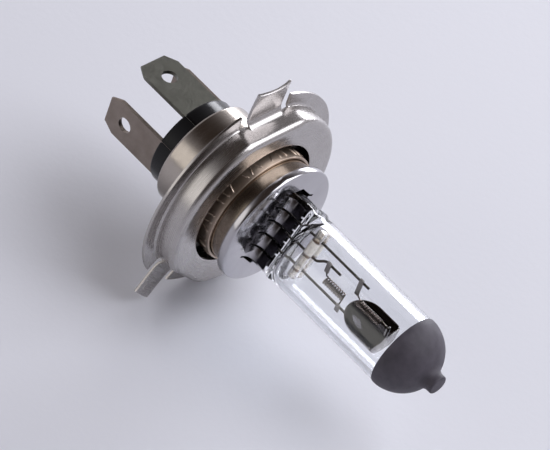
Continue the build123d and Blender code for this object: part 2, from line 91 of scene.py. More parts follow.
def cells(rows, columns, wrap=False, keep=None):
    """Quads of a grid of points: row i and column j meet i + 1 and j + 1, and wrap joins the last
    row to the first. keep is a mask of cells."""
    index = np.arange(rows * columns).reshape(rows, columns)
    if wrap:
        index = np.vstack([index, index[:1]])
    quads = np.stack([index[:-1, :-1], index[:-1, 1:], index[1:, 1:], index[1:, :-1]], axis=-1)
    if keep is not None:
        quads = quads[keep]
    return quads.reshape(-1, 4)


def surface(name, grid, wrap=False, keep=None):
    """Mesh over a grid of points. Seen with i upwards and j to the left, faces look up."""
    return to_mesh(name, grid.reshape(-1, 3), cells(*grid.shape[:2], wrap, keep))


def dress(piece, material, slot, *nodes, sharp=35.0):
    """Applies the piece's modifiers, shades it smooth up to the angle sharp, and ties it to the frame:
    it rides on the one body, takes its finish from material and stands for the CAD nodes named, which it
    hides. slot is not used."""
    bpy.context.view_layer.update()
    seen = piece.evaluated_get(bpy.context.evaluated_depsgraph_get())
    mesh = bpy.data.meshes.new_from_object(seen)
    piece.modifiers.clear()
    piece.data = mesh
    mesh.materials.clear()
    mesh.materials.append(material)
    mesh.shade_smooth()
    mesh.set_sharp_from_angle(angle=np.radians(sharp))
    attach(piece, "root")
    if nodes:
        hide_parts(*nodes)


def break_edges(piece, width, over):
    """Bevels the edges that turn by more than over degrees, width mm wide."""
    modify(piece, "BEVEL", width=width * MM, segments=2, limit_method="ANGLE",
           angle_limit=np.radians(over))


def around(angle, radius):
    """Y and Z of points at angle and radius round the axis, as the last axis of the array."""
    return np.stack([radius * np.sin(angle), radius * np.cos(angle)], axis=-1)


ring_low, ring_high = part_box("prefocus_ring")
FLANGE_R = -ring_low.z / MM
COLLAR_R, COLLAR_H = 18.9, ring_high.x / MM
SHEET, SHEET_EDGE = 0.5, 0.09
FRONT_EDGE_R = 1.25
FLANGE_ROOT_R, LUG_ROOT_R, SLIT_ROOT_R = 0.5, 1.65, 0.02
LUG_TIP, TIP_ROOM = ring_high.z / MM, 0.13
LUG_LEAN, LEAN_POWER, LUG_DISH, LUG_NOTCH = 0.35, 1.5, 0.6, 2.0
FLAT_DEPTH, FLAT_BLEND = 1.15, 0.16
OPENING_R, OPENING_SHIFT = 13.2, around(np.radians(-45.0), 0.8)
LUG_COLUMNS, GAP_COLUMNS, FLANGE_STEP, HAIR = 17, 5, np.radians(1.5), 1e-3
WIDE_LUG, SMALL_LUG, SMALL_LUG_ANGLE = 7.9, 5.4, np.radians(137.0)
LUGS = ((0.0, WIDE_LUG), (SMALL_LUG_ANGLE, SMALL_LUG), (2 * np.pi - SMALL_LUG_ANGLE, SMALL_LUG))


def flat_distance(width):
    """Distance of the flat behind a lug from the axis."""
    return COLLAR_R - FLAT_DEPTH * (width / WIDE_LUG) ** 0.5


def collar_radius(angle):
    """Radius of the collar's wall: the smaller of the circle and each flat, d / cos(a), blended
    over FLAT_BLEND mm by a soft minimum so that the flats end in rounded corners."""
    total = np.exp(-COLLAR_R / FLAT_BLEND * np.ones_like(angle) + COLLAR_R / FLAT_BLEND)
    for at, width in LUGS:
        off = np.arctan2(np.sin(angle - at), np.cos(angle - at))
        reach = flat_distance(width) / np.cos(np.clip(off, -1.2, 1.2))
        total = total + np.exp((COLLAR_R - reach) / FLAT_BLEND)
    return COLLAR_R - FLAT_BLEND * np.log(total)


def ring_columns():
    """Columns once round the ring, LUG_COLUMNS across a lug and one each FLANGE_STEP along the flange,
    with a notch of GAP_COLUMNS between: angle on the collar, outer end (y, z), root radius, lean,
    and whether the sheet runs out to that end between this column and the next."""
    angles, ends, roots, leans, solid = [], [], [], [], []
    for k, (at, width) in enumerate(LUGS):
        d = flat_distance(width)
        side = np.linspace(-width / 2, width / 2, LUG_COLUMNS)
        out, across = np.array([np.sin(at), np.cos(at)]), np.array([np.cos(at), -np.sin(at)])
        angles.append(at + np.arctan(side / d))
        ends.append(out * (LUG_TIP - TIP_ROOM) + side[:, None] * across)
        roots.append(np.full(LUG_COLUMNS, LUG_ROOT_R))
        leans.append(LUG_LEAN + LUG_DISH * (width / WIDE_LUG) ** 2 * (1 - (2 * side / width) ** 2))
        solid.append(np.arange(LUG_COLUMNS) < LUG_COLUMNS - 1)
        next_at, next_width = LUGS[(k + 1) % 3]
        next_at = next_at + (2 * np.pi if k == 2 else 0.0)
        next_d = flat_distance(next_width)
        edge, next_edge = width / 2 + LUG_NOTCH, next_width / 2 + LUG_NOTCH
        first, last = at + np.arctan(edge / d), next_at - np.arctan(next_edge / next_d)
        n = int((last - first) / FLANGE_STEP)
        here = np.linspace(first, last, n)
        there = np.linspace(at + np.arcsin(edge / FLANGE_R), next_at - np.arcsin(next_edge / FLANGE_R), n)
        before = np.linspace(angles[-1][-1] + HAIR, first - HAIR, GAP_COLUMNS)
        next_side = next_at - np.arctan(next_width / 2 / next_d)
        after = np.linspace(last + HAIR, next_side - HAIR, GAP_COLUMNS)
        for gap, is_solid in ((before, False), (here, True), (after, False)):
            angles.append(gap)
            ends.append(around(there if is_solid else gap, FLANGE_R))
            roots.append(np.full(len(gap), FLANGE_ROOT_R if is_solid else SLIT_ROOT_R))
            leans.append(np.zeros(len(gap)))
            solid.append((np.arange(len(gap)) < len(gap) - 1) & is_solid)
    return [np.concatenate(part) for part in (angles, ends, roots, leans, solid)]


def column(values):
    """Values one above the other, to meet a row of places along the sheet."""
    return np.asarray(values)[:, None]


def prefocus_ring():
    """Grid of columns round the ring by rows from the opening to the rim. Rows: across the front face,
    round the front edge by (R - e + e sin t, H - e + e cos t), down the wall, round the foot by a
    quarter circle that turns outwards, and along the flange or lug."""
    angle, end, root, lean, solid = ring_columns()
    radius = collar_radius(angle)
    opening = OPENING_SHIFT + around(angle, OPENING_R)
    face_end = around(angle, radius - FRONT_EDGE_R)
    t = np.linspace(0, 1, 9)
    face = opening[:, None] + (face_end - opening)[:, None] * t[None, :, None]
    face_x = np.full(face.shape[:2], COLLAR_H)
    t = np.linspace(0, np.pi / 2, 11)[1:]
    turn = around(column(angle), column(radius) - FRONT_EDGE_R * (1 - np.sin(t)))
    turn_x = np.ones_like(column(angle)) * (COLLAR_H - FRONT_EDGE_R * (1 - np.cos(t)))
    t = np.linspace(0, 1, 6)[1:]
    wall = around(column(angle), column(radius) * np.ones_like(t))
    wall_x = (COLLAR_H - FRONT_EDGE_R) + (column(root) - COLLAR_H + FRONT_EDGE_R) * t
    foot = around(angle, radius)
    way = end - foot
    length = np.linalg.norm(way, axis=1)
    way = way / column(length)
    t = np.linspace(0, np.pi / 2, 9)[1:]
    bend = foot[:, None] + way[:, None] * (column(root) * (1 - np.cos(t)))[..., None]
    bend_x = column(root) * (1 - np.sin(t))
    t = np.linspace(0, 1, 13)[1:]
    run = foot[:, None] + way[:, None] * (column(root) + (column(length) - column(root)) * t)[..., None]
    run_x = column(lean) * t ** LEAN_POWER
    flat = np.concatenate([face, turn, wall, bend, run], axis=1)
    x = np.concatenate([face_x, turn_x, wall_x, bend_x, run_x], axis=1)
    grid = np.concatenate([x[..., None], flat], axis=-1)
    keep = np.ones((grid.shape[0], grid.shape[1] - 1), bool)
    keep[:, face.shape[1] + turn.shape[1] + wall.shape[1] - 1:] = solid[:, None]
    piece = surface("ring_sheet", grid[:, ::-1], wrap=True, keep=keep[:, ::-1])
    modify(piece, "SOLIDIFY", thickness=SHEET * MM, offset=-1.0, use_even_offset=True)
    break_edges(piece, SHEET_EDGE, 55)
    return piece


def colour(code):
    """Linear RGBA of an sRGB hex code: v / 12.92 below 0.04045, ((v + 0.055) / 1.055)^2.4 above."""
    value = np.array([int(code[i:i + 2], 16) / 255 for i in (1, 3, 5)])
    linear = np.where(value <= 0.04045, value / 12.92, ((value + 0.055) / 1.055) ** 2.4)
    return (*linear.tolist(), 1.0)


def add(tree, kind, inputs=None, **settings):
    """Adds one shader node. settings are its own properties; inputs are its sockets, each given a
    constant or the output that feeds it."""
    node = tree.nodes.new("ShaderNode" + kind)
    for key, value in settings.items():
        setattr(node, key, value)
    for key, value in (inputs or {}).items():
        if isinstance(value, bpy.types.NodeSocket):
            tree.links.new(value, node.inputs[key])
        else:
            node.inputs[key].default_value = value
    return node


def new_material(name):
    """Empty node material: its tree and output."""
    material = bpy.data.materials.new(name)
    material.use_nodes = True
    material.node_tree.nodes.clear()
    return material, material.node_tree, add(material.node_tree, "OutputMaterial")


def blend(tree, share, first, second):
    """Colour that goes from the first hex code to the second by share, 0 to 1."""
    mix = add(tree, "Mix", {0: share, 6: colour(first), 7: colour(second)}, data_type="RGBA")
    return mix.outputs[2]


def bare_metal(tree, output, base, rough, relief):
    """Gives a material's output a bare metal of that colour, roughness and relief."""
    metal = add(tree, "BsdfPrincipled", {
        "Base Color": base, "Metallic": 1.0, "Roughness": rough.outputs[0], "Normal": relief.outputs[0]})
    tree.links.new(metal.outputs[0], output.inputs["Surface"])


def turned_metal(name, light, dark, roughness, line=0.12, blotch=3.0, bump=0.004, mottle=0.5):
    """Sheet metal that was spun or brushed round the bulb's axis. Fine lines vary with the distance
    along and from the axis and hardly along the turn; line is their spacing in mm. Wider blotches
    of blotch mm shift it towards the dark colour, by mottle at most, and dull it."""
    material, tree, output = new_material(name)
    place = add(tree, "TexCoord").outputs["Object"]
    split = add(tree, "SeparateXYZ", {0: place})
    flat = add(tree, "CombineXYZ", {"Y": split.outputs["Y"], "Z": split.outputs["Z"]})
    reach = add(tree, "VectorMath", {0: flat.outputs[0]}, operation="LENGTH")
    faint = add(tree, "Math", {0: split.outputs["Y"], 1: 0.02}, operation="MULTIPLY")
    lines_at = add(tree, "CombineXYZ", {
        "X": split.outputs["X"], "Y": reach.outputs["Value"], "Z": faint.outputs[0]})
    lines = add(tree, "TexNoise", {"Vector": lines_at.outputs[0], "Scale": 1 / (line * MM), "Detail": 3.0})
    cloud = add(tree, "TexNoise", {
        "Vector": place, "Scale": 1 / (blotch * MM), "Detail": 5.0, "Roughness": 0.6})
    speck = add(tree, "TexNoise", {"Vector": place, "Scale": 1 / (0.25 * MM), "Detail": 2.0})
    tint = add(tree, "MapRange", {0: cloud.outputs[0], 1: 0.3, 2: 0.75, 3: 0.0, 4: mottle})
    base = blend(tree, tint.outputs[0], light, dark)
    dull = add(tree, "MapRange", {
        0: cloud.outputs[0], 1: 0.3, 2: 0.75, 3: roughness - 0.02, 4: roughness + 0.05})
    rough = add(tree, "MapRange", {0: lines.outputs[0], 1: 0.3, 2: 0.7, 3: -0.03, 4: 0.05})
    both = add(tree, "Math", {0: dull.outputs[0], 1: rough.outputs[0]}, operation="ADD")
    height = add(tree, "Math", {0: lines.outputs[0], 1: speck.outputs[0]}, operation="ADD")
    relief = add(tree, "Bump", {"Height": height.outputs[0], "Strength": 0.25, "Distance": bump * MM})
    bare_metal(tree, output, base, both, relief)
    return material


# Nickel-plated steel, satin from the press: a light grey with fine drawing lines.
plated_steel = turned_metal(
    "nickel_plated_steel_pressed", "#b7b3b1", "#9f9996", 0.25, bump=0.002, mottle=0.35)
dress(prefocus_ring(), plated_steel, "ring_steel", "prefocus_ring", sharp=50)


# ----------------------------------------------------------
# Base shell. A drawn cup of nickel-plated steel, its rear edge curled in over the insulator. It
# widens into a neck that passes through the ring and is soldered to the backing plate behind it.
# Fine embossed strokes run round the neck.
# ----------------------------------------------------------
def rounded(corners, steps=7):
    """Outline through corners (x, r, radius): each corner with a radius is replaced by its arc, which
    leaves both sides a distance radius * tan(turn / 2) from the corner."""
    corners = [np.array(c, float) for c in corners]
    points = []
    for i, corner in enumerate(corners):
        here, radius = corner[:2], corner[2]
        if radius == 0 or i in (0, len(corners) - 1):
            points.append(here[None])
            continue
        back, on = corners[i - 1][:2] - here, corners[i + 1][:2] - here
        back, on = back / np.linalg.norm(back), on / np.linalg.norm(on)
        half = np.arccos(np.clip(back @ on, -1, 1)) / 2
        middle = back + on
        centre = here + middle / np.linalg.norm(middle) * radius / np.sin(half)
        start = here + back * radius / np.tan(half) - centre
        stop = here + on * radius / np.tan(half) - centre
        sweep = np.arctan2(start[0] * stop[1] - start[1] * stop[0], start @ stop)
        t = np.linspace(0, sweep, steps)
        points.append(centre + np.stack([start[0] * np.cos(t) - start[1] * np.sin(t),
                                         start[0] * np.sin(t) + start[1] * np.cos(t)], axis=-1))
    return np.concatenate(points)


def spin(name, outline, columns=160, lift=None):
    """Surface of revolution: (x, r sin a, r cos a) for each outline point and angle. An outline that
    runs forwards on the outside looks outwards. lift(angle, outline) moves points along x."""
    angle = np.arange(columns) * 2 * np.pi / columns
    flat = around(angle[:, None], outline[None, :, 1])
    x = np.broadcast_to(outline[None, :, 0], flat.shape[:2])
    if lift is not None:
        x = x + lift(angle[:, None], outline[None])
    return surface(name, np.concatenate([x[..., None], flat], axis=-1), wrap=True)


shell_low, shell_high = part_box("base_shell")
SHELL_BACK, NECK_FRONT = shell_low.x / MM, shell_high.x / MM
SHELL_R, NECK_R, SHELL_T = 10.6, shell_high.z / MM, 0.5
SHELL_BORE, NECK_BORE = SHELL_R - SHELL_T, NECK_R - SHELL_T
STEP_X, STEP_L, STEP_LAG = -1.6, 0.9, 0.25
LIP_R, LIP_EDGE, CURL_R = SHELL_R - 0.9, 0.12, 0.62
STEP_OUTER_R, STEP_INNER_R, CURL_INNER_R, NECK_EDGE = 0.5, 0.3, 0.2, 0.15
NECK_BACK = 1.0
ROUND = 192

shell_outline = rounded([
    (SHELL_BACK + SHELL_T, LIP_R, 0), (SHELL_BACK, LIP_R, LIP_EDGE), (SHELL_BACK, SHELL_R, CURL_R),
    (STEP_X, SHELL_R, STEP_OUTER_R), (STEP_X + STEP_L, NECK_R, STEP_OUTER_R), (NECK_BACK, NECK_R, 0),
    (NECK_BACK, NECK_BORE, 0), (STEP_X + STEP_L + STEP_LAG, NECK_BORE, STEP_INNER_R),
    (STEP_X + STEP_LAG, SHELL_BORE, STEP_INNER_R), (SHELL_BACK + SHELL_T, SHELL_BORE, CURL_INNER_R),
    (SHELL_BACK + SHELL_T, LIP_R, 0)])
# The same plating on the deep-drawn cup, brighter and a little warmer.
plated_cup = turned_metal(
    "nickel_plated_steel_drawn", "#b3aba3", "#8f857c", 0.18, blotch=4.0, bump=0.0025, mottle=0.4)
dress(spin("base_shell_cup", shell_outline, ROUND), plated_cup, "shell_steel", "base_shell")

# The neck's plating from NECK_BACK forwards: rougher and browner than the cup's, and painted lighter, as
# painted light on the neck where it shows inside the ring's opening.
neck_plating_painted_light = turned_metal("nickel_plated_steel_painted_light", "#c9b8a8", "#9c8878", 0.36, blotch=2.0)
neck_outline = rounded([
    (NECK_BACK, NECK_BORE, 0), (NECK_BACK, NECK_R, 0), (NECK_FRONT, NECK_R, NECK_EDGE),
    (NECK_FRONT, NECK_BORE, NECK_EDGE), (NECK_BACK, NECK_BORE, 0)])
dress(spin("base_shell_neck", neck_outline, ROUND), neck_plating_painted_light, "shell_steel")

STROKE_L, STROKE_W, STROKE_H, STROKE_SINK = 2.0, 0.36, 0.2, 0.01
STROKE_X, STROKE_STEP, STROKE_SLANT, STROKE_GROUP = 4.3, np.radians(7.5), 0.35, 4


def neck_strokes():
    """Low ridges on the neck. Each is a grid s along and w across, standing h (1 - s^4)(1 - w^2) off the
    neck at x = X + L s / 2; its angle leans with s by the slant. The last of each group is left out."""
    s, w = np.meshgrid(np.linspace(-1, 1, 9), np.linspace(-1, 1, 7), indexing="ij")
    points, faces = [], []
    quads = cells(*s.shape)
    count = int(2 * np.pi / STROKE_STEP)
    spots = [k for k in range(count) if k % STROKE_GROUP != STROKE_GROUP - 1]
    for k in spots:
        lean = STROKE_SLANT * (1 if k % 3 else -1)
        angle = k * STROKE_STEP + (w * STROKE_W / 2 + lean * s) / NECK_R
        height = NECK_R - STROKE_SINK + STROKE_H * (1 - s ** 4) * (1 - w ** 2)
        x = STROKE_X + s * STROKE_L / 2
        flat = around(angle, height)
        faces.append(quads[:, ::-1] + len(points) * s.size)
        points.append(np.concatenate([x[..., None], flat], axis=-1).reshape(-1, 3))
    return to_mesh("neck_strokes", np.concatenate(points), np.concatenate(faces))


# The strokes take the neck's material with its painted light.
dress(neck_strokes(), neck_plating_painted_light, "shell_steel", sharp=60)


def polished_copy(node, name, bevel=0.0):
    """Copy of a CAD node's mesh, its corners merged and its hard edges broken by bevel mm."""
    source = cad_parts[node]
    piece = bpy.data.objects.new(name, source.data.copy())
    bpy.context.scene.collection.objects.link(piece)
    modify(piece, "WELD", merge_threshold=2 * SAME_POINT)
    if bevel:
        break_edges(piece, bevel, 40)
    return piece


CAD_SHARP = 25
dress(polished_copy("backing_plate", "backing_washer", bevel=0.06), plated_steel, "ring_steel",
      "backing_plate", sharp=CAD_SHARP)


# ----------------------------------------------------------
# Burner sleeve. A polished stainless sleeve pushed into the neck and welded there once the
# filaments are aligned. Its front end is turned out into a narrow flange.
# ----------------------------------------------------------
sleeve_low, sleeve_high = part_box("burner_sleeve")
SLEEVE_GAP, SLEEVE_T = 0.05, 0.45
SLEEVE_R = NECK_R - SHELL_T - SLEEVE_GAP
SLEEVE_BORE = SLEEVE_R - SLEEVE_T
SLEEVE_BACK, SLEEVE_FRONT, RIM_R = sleeve_low.x / MM, sleeve_high.x / MM, sleeve_high.z / MM
RIM_BACK = SLEEVE_FRONT - 0.5
SLEEVE_EDGE, RIM_ROOT_R, RIM_EDGE = 0.1, 0.22, 0.16
sleeve_outline = rounded([
    (SLEEVE_BACK, SLEEVE_BORE, 0), (SLEEVE_BACK, SLEEVE_R, SLEEVE_EDGE), (RIM_BACK, SLEEVE_R, RIM_ROOT_R),
    (RIM_BACK, RIM_R, RIM_EDGE), (SLEEVE_FRONT, RIM_R, SLEEVE_EDGE),
    (SLEEVE_FRONT, SLEEVE_BORE, SLEEVE_EDGE), (SLEEVE_BACK, SLEEVE_BORE, 0)])
# Stainless steel, polished and straw-coloured from the heat of its weld.
polished_sleeve = turned_metal(
    "stainless_steel_polished", "#a5988a", "#73665a", 0.14, line=0.2, blotch=5.0, bump=0.003)
dress(spin("alignment_sleeve", sleeve_outline, ROUND), polished_sleeve, "sleeve_steel", "burner_sleeve")


# ----------------------------------------------------------
# Clamping cap. A thin spring-steel disc folded over the sleeve's rim. Slits cut its face into
# fingers that turn forward and hold the glass pinch from both sides.
# ----------------------------------------------------------
FINGER_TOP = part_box("clamping_cap")[1].x / MM
# The painted shade on the fingers starts at the first x and is full at the second.
FINGER_SHADE_FROM, FINGER_SHADE_FULL = FINGER_TOP - 3.4, FINGER_TOP - 2.0


def darkened(material, tone, share_of):
    """Mixes tone into a metal's own colour by the share, 0 to 1, that share_of(tree) gives."""
    tree = material.node_tree
    metal = next(node for node in tree.nodes if node.type == "BSDF_PRINCIPLED")
    plain = metal.inputs["Base Color"].links[0].from_socket
    mix = add(tree, "Mix", {0: share_of(tree), 6: plain, 7: colour(tone)}, data_type="RGBA")
    tree.links.new(mix.outputs[2], metal.inputs["Base Color"])


def painted_shade_up_the_fingers(tree):
    """Share of painted shade, which grows along x from the cap's face to the middle of the fingers."""
    split = add(tree, "SeparateXYZ", {0: add(tree, "TexCoord").outputs["Object"]})
    share = add(tree, "MapRange", {0: split.outputs["X"], 1: FINGER_SHADE_FROM * MM, 2: FINGER_SHADE_FULL * MM})
    return share.outputs[0]


# Bright spring steel, with painted shade that darkens the fingers towards the glass.
spring_steel = turned_metal(
    "spring_steel_bright", "#b9b7ba", "#a5a1a5", 0.14, blotch=2.5, bump=0.0015, mottle=0.3)
darkened(spring_steel, "#302e33", painted_shade_up_the_fingers)
dress(polished_copy("clamping_cap", "clamping_disc", bevel=0.05), spring_steel, "cap_steel",
      "clamping_cap", sharp=CAD_SHARP)


# ----------------------------------------------------------
# Glass bulb. Clear quartz tube, domed and sealed off to a small stub in front, and pressed flat
# over the foils behind. Its wall is about a millimetre and it is glossy from flame polishing.
# ----------------------------------------------------------
PINCH_ROLL = np.radians(27.0)
glass_low, glass_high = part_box("glass_bulb")
GLASS_R, GLASS_T = 7.3, 1.0
PINCH_BACK, TIP_X = glass_low.x / MM, glass_high.x / MM
PINCH_W, PINCH_T, PINCH_EDGE, PINCH_POWER = 15.0, 3.4, 0.3, 7
PINCH_FRONT, SHOULDER_X, DOME_X = 14.4, 18.4, 43.5
CAVITY_X, CAVITY_FULL_X = 15.8, 18.2
CAVITY_HALF_W, CAVITY_HALF_T = 4.8, 0.6
PINCH_CLEAR, PINCH_FADE = 0.8, 1.4
CAVITY_ROWS, TUBE_ROWS, DOME_ROWS = 25, 20, 33
STUB_R, STUB_FILLET, STUB_END_R = 1.8, 1.7, 0.35


def along_pinch(u, v, x):
    """Points at u along the pinch's wide side, v across it and x along the bulb."""
    u, v, x = np.broadcast_arrays(u, v, x)
    s, c = np.sin(PINCH_ROLL), np.cos(PINCH_ROLL)
    return np.stack([x, u * s + v * c, u * c - v * s], axis=-1)


def ease(t):
    """Smooth step from 0 to 1, 3 t^2 - 2 t^3."""
    t = np.clip(t, 0, 1)
    return t * t * (3 - 2 * t)


def pressed_tube(name, x, wide, thick, power, columns=144):
    """Tube whose sections are super-ellipses |u / wide|^n + |v / thick|^n = 1 in the pinch's own
    directions: u = wide sgn(cos) |cos a|^(2/n), v = thick sgn(sin) |sin a|^(2/n)."""
    a = (np.arange(columns) + 0.5)[:, None] * 2 * np.pi / columns
    c, s = np.cos(a), np.sin(a)
    u = wide * np.sign(c) * np.abs(c) ** (2 / power)
    v = thick * np.sign(s) * np.abs(s) ** (2 / power)
    return surface(name, along_pinch(u, v, x[None, :]), wrap=True)


def dome_profile(radius, stub, fillet, end, count):
    """Profile (x, r) of dome, fillet and stub: a circle of the tube's radius about DOME_X, a fillet
    that touches both it and the stub, the stub and its rounded end."""
    fx = DOME_X + np.sqrt((radius + fillet) ** 2 - (stub + fillet) ** 2)
    touch = np.arccos((stub + fillet) / (radius + fillet))
    t = np.linspace(0, touch, count)
    dome = np.stack([DOME_X + radius * np.sin(t), radius * np.cos(t)], -1)
    t = np.linspace(touch, 0, count // 2)[:, None]
    bend = np.hstack([fx - fillet * np.sin(t), stub + fillet - fillet * np.cos(t)])
    t = np.linspace(0, np.pi / 2, 7)[:, None]
    cap = np.hstack([end - STUB_END_R * (1 - np.sin(t)), stub - STUB_END_R * (1 - np.cos(t))])
    return np.concatenate([dome, bend[1:], cap, [[end, 0.0]]])


def glass_bulb():
    """Outer skin and gas space: each is a pressed tube whose section goes from the flat pinch to the
    full circle by a smooth step along x, closed by its dome. The gas space's rear end rises as
    sqrt(1 - (1 - s)^2)."""
    front = dome_profile(GLASS_R, STUB_R, STUB_FILLET, TIP_X, DOME_ROWS)
    x = np.concatenate([
        [PINCH_BACK, PINCH_BACK, PINCH_BACK + PINCH_EDGE],
        np.linspace(PINCH_BACK + PINCH_CLEAR, PINCH_FRONT, 12),
        np.linspace(PINCH_FRONT, SHOULDER_X, 25)[1:], np.linspace(SHOULDER_X, DOME_X, TUBE_ROWS)[1:-1],
        front[:, 0]])
    t = ease((x - PINCH_FRONT) / (SHOULDER_X - PINCH_FRONT))
    radius = np.concatenate([np.full(len(x) - len(front), GLASS_R), front[:, 1]])
    wide = PINCH_W / 2 * (1 - t) + radius * t
    thick = PINCH_T / 2 * (1 - t) + radius * t
    wide[0] = thick[0] = 0.0
    wide[1], thick[1] = wide[1] - PINCH_EDGE, thick[1] - PINCH_EDGE
    skin = pressed_tube("glass_skin", x, wide, thick, PINCH_POWER - (PINCH_POWER - 2) * ease(t * PINCH_FADE))
    bore = GLASS_R - GLASS_T
    s = np.linspace(0, 1, CAVITY_ROWS)
    rear_x = CAVITY_X + (CAVITY_FULL_X - CAVITY_X) * s
    rise = np.sqrt(1 - (1 - s) ** 2)
    a = np.linspace(0, np.pi / 2, 25)
    tube_x = np.linspace(CAVITY_FULL_X, DOME_X, TUBE_ROWS)[1:-1]
    x = np.concatenate([rear_x, tube_x, DOME_X + bore * np.sin(a)])
    radius = np.concatenate([np.full(len(tube_x), bore), bore * np.cos(a)])
    open_w = np.concatenate([CAVITY_HALF_W * rise + (bore - CAVITY_HALF_W) * ease(s), radius])
    open_t = np.concatenate([CAVITY_HALF_T * rise + (bore - CAVITY_HALF_T) * ease(s), radius])
    hollow = pressed_tube("gas_space", x, open_w, open_t, 2.0)
    hollow.data.flip_normals()
    return skin, hollow


def joined(name, pieces):
    """One object from several, which keeps the first one's modifiers."""
    with bpy.context.temp_override(active_object=pieces[0], selected_editable_objects=list(pieces)):
        bpy.ops.object.join()
    pieces[0].name = pieces[0].data.name = name
    return pieces[0]


def clear_quartz():
    """Fused quartz, IOR 1.46 and almost without colour. Lamps shine through it, because a lamp's
    rays would otherwise stop at a refracting wall. Faint waves from drawing the tube, 4 mm wide and
    long along it, show as relief, and a breath of haze in 3 mm patches as roughness."""
    material, tree, output = new_material("fused_quartz_clear")
    place = add(tree, "TexCoord").outputs["Object"]
    drawn = add(tree, "Mapping", {"Vector": place, "Scale": (0.05, 1.0, 1.0)})
    wave = add(tree, "TexNoise", {"Vector": drawn.outputs[0], "Scale": 1 / (4.0 * MM), "Detail": 0.0})
    relief = add(tree, "Bump", {"Height": wave.outputs[0], "Strength": 0.04, "Distance": 0.01 * MM})
    haze = add(tree, "TexNoise", {"Vector": place, "Scale": 1 / (3.0 * MM), "Detail": 1.0})
    smear = add(tree, "MapRange", {0: haze.outputs[0], 3: 0.0, 4: 0.004})
    glass = add(tree, "BsdfPrincipled", {
        "Base Color": colour("#fbfcfd"), "Transmission Weight": 1.0, "IOR": 1.46,
        "Roughness": smear.outputs[0], "Normal": relief.outputs[0]})
    through = add(tree, "BsdfTransparent", {"Color": colour("#f1f3f5")})
    rays = add(tree, "LightPath")
    mix = add(tree, "MixShader", {
        0: rays.outputs["Is Shadow Ray"], 1: glass.outputs[0], 2: through.outputs[0]})
    tree.links.new(mix.outputs[0], output.inputs["Surface"])
    return material


dress(joined("quartz_tube", glass_bulb()), clear_quartz(), "quartz", "glass_bulb", sharp=50)


# ----------------------------------------------------------
# Tip coating. A matt black heat-resistant coating, dipped over the dome and stub, that hides the
# filaments from the front. Its edge is not quite square to the tube.
# ----------------------------------------------------------
COAT_T, COAT_BACK = 0.12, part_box("tip_coating")[0].x / MM
COAT_EDGE_L, COAT_ROWS = 0.12, 41
COAT_TILT, COAT_TILT_AT, COAT_TILT_FADE = 0.45, np.radians(-41.0), 3.0


def tip_coating():
    """Skin of thickness T over the dome: out along the dome's profile grown by T, and back along the
    glass. The edge moves forwards by tilt (1 + cos(a - a0)), fading out along the tube."""
    outer = dome_profile(GLASS_R + COAT_T, STUB_R + COAT_T, STUB_FILLET - COAT_T, TIP_X + COAT_T,
                         COAT_ROWS)
    inner = dome_profile(GLASS_R, STUB_R, STUB_FILLET, TIP_X, COAT_ROWS)
    edge = np.array([[COAT_BACK, GLASS_R], [COAT_BACK + 0.02, GLASS_R + COAT_T * 0.7],
                     [COAT_BACK + COAT_EDGE_L, GLASS_R + COAT_T]])
    outline = np.concatenate([edge, outer, inner[::-1], edge[:1]])

    def tilt(angle, line):
        fade = 1 - ease((line[..., 0] - COAT_BACK) / COAT_TILT_FADE)
        return COAT_TILT * (1 + np.cos(angle - COAT_TILT_AT)) * fade * (line[..., 0] < DOME_X + 2.5)

    return spin("black_tip", outline, 144, tilt)


def matt_black():
    """Matt ceramic paint baked on the glass: dark grey with a purplish cast, a fine grain of 0.16 mm,
    soft darker patches of about 2 mm, and a wide dull sheen."""
    material, tree, output = new_material("ceramic_paint_matt_black")
    place = add(tree, "TexCoord").outputs["Object"]
    grain = add(tree, "TexNoise", {"Vector": place, "Scale": 1 / (0.16 * MM), "Detail": 3.0})
    patch = add(tree, "TexNoise", {"Vector": place, "Scale": 1 / (2.2 * MM), "Detail": 4.0})
    tone = add(tree, "MapRange", {0: patch.outputs[0], 1: 0.3, 2: 0.7, 3: 0.0, 4: 1.0})
    base = blend(tree, tone.outputs[0], "#514c55", "#423e46")
    rough = add(tree, "MapRange", {0: grain.outputs[0], 3: 0.5, 4: 0.72})
    relief = add(tree, "Bump", {"Height": grain.outputs[0], "Strength": 0.5, "Distance": 0.03 * MM})
    paint = add(tree, "BsdfPrincipled", {
        "Base Color": base, "Roughness": rough.outputs[0], "Specular IOR Level": 0.45,
        "Normal": relief.outputs[0]})
    tree.links.new(paint.outputs[0], output.inputs["Surface"])
    return material


dress(tip_coating(), matt_black(), "coating", "tip_coating", sharp=60)


# ----------------------------------------------------------
# Wires, leads and tabs. Dark drawn molybdenum: three support wires that pass through the bridge,
# three outer leads to the blades, and short flat tabs welded across the wires.
# ----------------------------------------------------------
WIRE_R = 0.25
WIRE_PITCH, WIRE_SHIFT, WIRE_SEAL = 3.15, 0.55, 8.6
LOW_END, HIGH_END = 31.8, 26.0
HIGH_STEP, HIGH_STEP_X, HIGH_STEP_L, HIGH_STEP_ROOM = 1.3, 20.4, 2.2, 0.6


def wire(name, path, radius, smooth=4):
    """Round wire along a path of points in mm, made a mesh with closed ends."""
    line = bpy.data.curves.new(name, "CURVE")
    line.dimensions = "3D"
    line.bevel_depth, line.bevel_resolution = radius * MM, smooth
    line.use_fill_caps = True
    spline = line.splines.new("POLY")
    spline.points.add(len(path) - 1)
    spline.points.foreach_set("co", np.hstack([np.asarray(path) * MM, np.ones((len(path), 1))]).ravel())
    holder = bpy.data.objects.new(name, line)
    bpy.context.scene.collection.objects.link(holder)
    mesh = bpy.data.meshes.new_from_object(holder.evaluated_get(bpy.context.evaluated_depsgraph_get()))
    bpy.data.objects.remove(holder)
    piece = bpy.data.objects.new(name, mesh)
    bpy.context.scene.collection.objects.link(piece)
    return piece


def wire_at(slot, x, step=0.0):
    """Points on a support wire: slot -1, 0 or 1 along the pinch, moved by step."""
    return along_pinch(WIRE_SHIFT + slot * WIRE_PITCH + np.asarray(step), 0.0, x)


